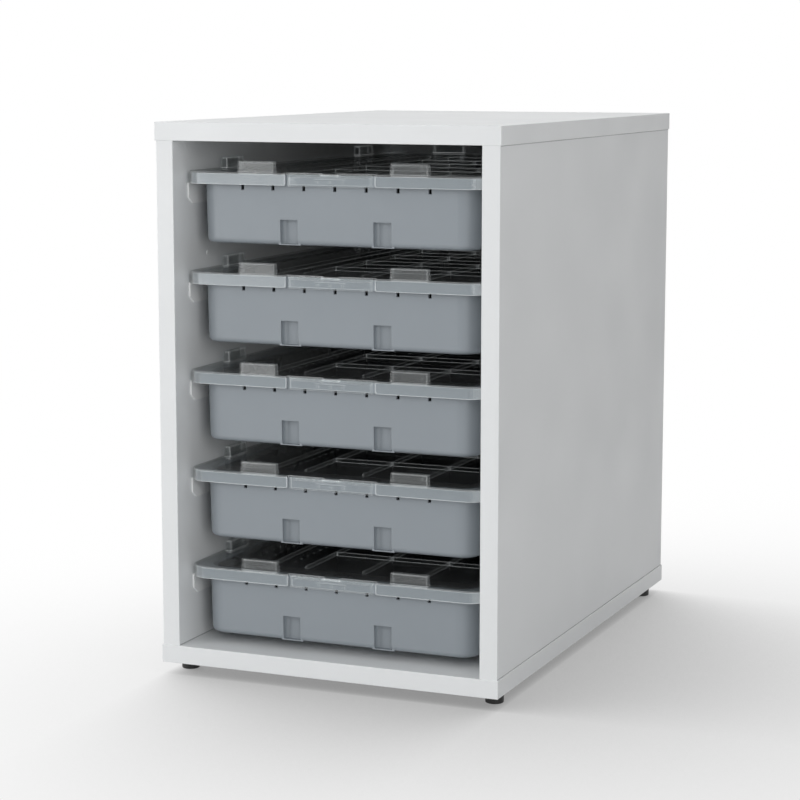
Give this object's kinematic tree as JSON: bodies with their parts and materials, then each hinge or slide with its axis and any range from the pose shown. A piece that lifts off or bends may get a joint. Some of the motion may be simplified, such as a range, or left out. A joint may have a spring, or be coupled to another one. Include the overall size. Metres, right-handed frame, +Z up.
{
  "type": "tray storage unit",
  "caption": "White board cabinet on levelling feet that holds a column of grey plastic trays on side runners, each with a clear latched lid and a sorting insert.",
  "frame": {"origin": "on the floor under the middle of the cabinet", "axes": "+X to the right seen from the front, +Y from the front to the back, +Z up"},
  "size_m": [0.358, 0.544, 0.5492],
  "materials": {
    "white_board": "white melamine on particle board",
    "white_edging": "white plastic edging",
    "beech_dowel": "plain beech",
    "zinc_steel": "zinc plated",
    "white_plug": "moulded",
    "white_runner": "white powder coat",
    "black_foot": "moulded black nylon",
    "grey_tray": "moulded blue-grey polypropylene",
    "black_insert": "moulded black",
    "dark_divider": "moulded dark grey",
    "clear_lid": "clear, polished"
  },
  "bodies": {
    "cabinet": {"top_panel": "white_board", "bottom_panel": "white_board", "left_side_panel": "white_board", "right_side_panel": "white_board", "back_panel": "white_board", "edge_bands": "white_edging", "panel_dowels": "beech_dowel", "back_panel_screws": "zinc_steel", "hole_plugs": "white_plug", "foot_sleeves": "zinc_steel", "runner_screws": "zinc_steel", "left_runner_1": "white_runner", "right_runner_1": "white_runner", "left_runner_2": "white_runner", "right_runner_2": "white_runner", "left_runner_3": "white_runner", "right_runner_3": "white_runner", "left_runner_4": "white_runner", "right_runner_4": "white_runner", "left_runner_5": "white_runner", "right_runner_5": "white_runner"},
    "front_left_foot": {"front_left_foot": "black_foot"},
    "front_right_foot": {"front_right_foot": "black_foot"},
    "back_left_foot": {"back_left_foot": "black_foot"},
    "back_right_foot": {"back_right_foot": "black_foot"},
    "tray_1": {"tray_1": "grey_tray", "sorting_insert_1": "black_insert", "divider_set_1": "dark_divider"},
    "lid_1": {"lid_1": "clear_lid", "lid_ribs_1": "clear_lid", "latch_pin_1": "clear_lid"},
    "front_latch_1": {"front_latch_1": "clear_lid"},
    "tray_2": {"tray_2": "grey_tray", "sorting_insert_2": "black_insert", "divider_set_2": "dark_divider"},
    "lid_2": {"lid_2": "clear_lid", "lid_ribs_2": "clear_lid", "latch_pin_2": "clear_lid"},
    "front_latch_2": {"front_latch_2": "clear_lid"},
    "tray_3": {"tray_3": "grey_tray", "sorting_insert_3": "black_insert", "divider_set_3": "dark_divider"},
    "lid_3": {"lid_3": "clear_lid", "lid_ribs_3": "clear_lid", "latch_pin_3": "clear_lid"},
    "front_latch_3": {"front_latch_3": "clear_lid"},
    "tray_4": {"tray_4": "grey_tray", "sorting_insert_4": "black_insert", "divider_set_4": "dark_divider"},
    "lid_4": {"lid_4": "clear_lid", "lid_ribs_4": "clear_lid", "latch_pin_4": "clear_lid"},
    "front_latch_4": {"front_latch_4": "clear_lid"},
    "tray_5": {"tray_5": "grey_tray", "sorting_insert_5": "black_insert", "divider_set_5": "dark_divider"},
    "lid_5": {"lid_5": "clear_lid", "lid_ribs_5": "clear_lid", "latch_pin_5": "clear_lid"},
    "front_latch_5": {"front_latch_5": "clear_lid"}
  },
  "joints": [
    {"name": "front_left_foot_turn", "type": "hinge", "parent": "cabinet", "child": "front_left_foot", "pos_m": [-0.164, -0.24, 0.012], "axis": [0, 0, 1], "continuous": true},
    {"name": "front_right_foot_turn", "type": "hinge", "parent": "cabinet", "child": "front_right_foot", "pos_m": [0.164, -0.24, 0.012], "axis": [0, 0, 1], "continuous": true},
    {"name": "back_left_foot_turn", "type": "hinge", "parent": "cabinet", "child": "back_left_foot", "pos_m": [-0.164, 0.24, 0.012], "axis": [0, 0, 1], "continuous": true},
    {"name": "back_right_foot_turn", "type": "hinge", "parent": "cabinet", "child": "back_right_foot", "pos_m": [0.164, 0.24, 0.012], "axis": [0, 0, 1], "continuous": true},
    {"name": "tray_1_slide", "type": "slide", "parent": "cabinet", "child": "tray_1", "axis": [0, -1, 0], "range_m": [0, 0.42]},
    {"name": "lid_1_lift", "type": "slide", "parent": "tray_1", "child": "lid_1", "axis": [0, 0, 1], "range_m": [0, 0.014]},
    {"name": "front_latch_1_swing", "type": "hinge", "parent": "lid_1", "child": "front_latch_1", "pos_m": [0, -0.2549, 0.1076], "axis": [-1, 0, 0], "range_deg": [0, 100]},
    {"name": "tray_2_slide", "type": "slide", "parent": "cabinet", "child": "tray_2", "axis": [0, -1, 0], "range_m": [0, 0.42]},
    {"name": "lid_2_lift", "type": "slide", "parent": "tray_2", "child": "lid_2", "axis": [0, 0, 1], "range_m": [0, 0.014]},
    {"name": "front_latch_2_swing", "type": "hinge", "parent": "lid_2", "child": "front_latch_2", "pos_m": [0, -0.2549, 0.2056], "axis": [-1, 0, 0], "range_deg": [0, 100]},
    {"name": "tray_3_slide", "type": "slide", "parent": "cabinet", "child": "tray_3", "axis": [0, -1, 0], "range_m": [0, 0.42]},
    {"name": "lid_3_lift", "type": "slide", "parent": "tray_3", "child": "lid_3", "axis": [0, 0, 1], "range_m": [0, 0.014]},
    {"name": "front_latch_3_swing", "type": "hinge", "parent": "lid_3", "child": "front_latch_3", "pos_m": [0, -0.2549, 0.3036], "axis": [-1, 0, 0], "range_deg": [0, 100]},
    {"name": "tray_4_slide", "type": "slide", "parent": "cabinet", "child": "tray_4", "axis": [0, -1, 0], "range_m": [0, 0.42]},
    {"name": "lid_4_lift", "type": "slide", "parent": "tray_4", "child": "lid_4", "axis": [0, 0, 1], "range_m": [0, 0.014]},
    {"name": "front_latch_4_swing", "type": "hinge", "parent": "lid_4", "child": "front_latch_4", "pos_m": [0, -0.2549, 0.4016], "axis": [-1, 0, 0], "range_deg": [0, 100]},
    {"name": "tray_5_slide", "type": "slide", "parent": "cabinet", "child": "tray_5", "axis": [0, -1, 0], "range_m": [0, 0.42]},
    {"name": "lid_5_lift", "type": "slide", "parent": "tray_5", "child": "lid_5", "axis": [0, 0, 1], "range_m": [0, 0.014]},
    {"name": "front_latch_5_swing", "type": "hinge", "parent": "lid_5", "child": "front_latch_5", "pos_m": [0, -0.2549, 0.4996], "axis": [-1, 0, 0], "range_deg": [0, 100]}
  ]
}
